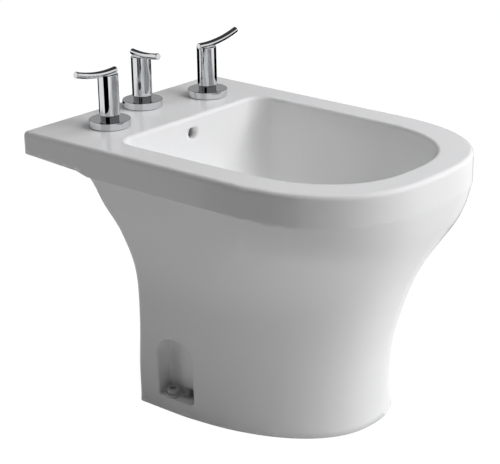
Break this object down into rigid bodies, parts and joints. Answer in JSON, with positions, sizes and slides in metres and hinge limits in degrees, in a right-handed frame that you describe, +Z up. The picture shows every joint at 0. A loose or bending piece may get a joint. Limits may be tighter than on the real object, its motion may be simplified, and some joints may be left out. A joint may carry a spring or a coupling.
{
  "type": "bidet",
  "caption": "Floor-standing ceramic bidet with a D-shaped bowl, a flared pedestal and deck taps with cylinder handles and curved rod levers.",
  "frame": {"origin": "on the floor under the middle of the body's length and width", "axes": "+Z up, -Y towards the front of the bowl, +Y towards the wall, X across the body"},
  "size_m": [0.3926, 0.563, 0.4717],
  "materials": {
    "glaze": "white gloss glaze",
    "chrome": "polished chrome plate",
    "brass": "machined",
    "steel": "plain",
    "rubber": "moulded",
    "valve_ceramic": "lapped",
    "bush_plastic": "moulded grey"
  },
  "bodies": {
    "ceramic": {"rim_and_deck": "glaze", "basin": "glaze", "pedestal": "glaze", "bolt_bushes": "bush_plastic", "hot_valve_body": "brass", "hot_flange": "chrome", "hot_bonnet": "chrome", "diverter_valve_body": "brass", "diverter_flange": "chrome", "diverter_bonnet": "chrome", "cold_valve_body": "brass", "cold_flange": "chrome", "cold_bonnet": "chrome", "deck_gaskets": "rubber", "sealing_washers": "rubber", "clamp_washers": "steel", "backnuts": "brass", "fixed_discs": "valve_ceramic", "spindle_rings": "rubber", "hot_link_tube": "chrome", "cold_link_tube": "chrome", "fill_tube": "chrome", "spray_tube": "chrome", "union_nuts": "brass", "fill_nozzle": "chrome", "fill_grommet": "rubber", "spray_rose": "chrome", "spray_gasket": "rubber", "spray_washer": "rubber", "spray_backnut": "brass", "waste_body": "chrome", "waste_top_seal": "rubber", "waste_bottom_seal": "rubber", "waste_backnut": "brass", "waste_tailpiece": "chrome", "tailpiece_nut": "chrome"},
    "hot_tap": {"hot_handle": "chrome", "hot_lever": "chrome", "hot_grub_screw": "steel", "hot_spindle": "brass", "hot_moving_disc": "valve_ceramic"},
    "diverter_tap": {"diverter_handle": "chrome", "diverter_lever": "chrome", "diverter_grub_screw": "steel", "diverter_spindle": "brass", "diverter_moving_disc": "valve_ceramic"},
    "cold_tap": {"cold_handle": "chrome", "cold_lever": "chrome", "cold_grub_screw": "steel", "cold_spindle": "brass", "cold_moving_disc": "valve_ceramic"},
    "plug": {"waste_plug": "chrome", "plug_seal": "rubber"}
  },
  "joints": [
    {"name": "hot_turn", "type": "hinge", "parent": "ceramic", "child": "hot_tap", "pos_m": [-0.1016, 0.2019, 0.396], "axis": [0, 0, 1], "range_deg": [0, 90]},
    {"name": "diverter_turn", "type": "hinge", "parent": "ceramic", "child": "diverter_tap", "pos_m": [0, 0.2379, 0.396], "axis": [0, 0, 1], "range_deg": [-81, 9]},
    {"name": "cold_turn", "type": "hinge", "parent": "ceramic", "child": "cold_tap", "pos_m": [0.1016, 0.2019, 0.396], "axis": [0, 0, 1], "range_deg": [-90, 0]},
    {"name": "plug_lift", "type": "slide", "parent": "ceramic", "child": "plug", "axis": [0, 0, 1], "range_m": [0, 0.009]}
  ]
}
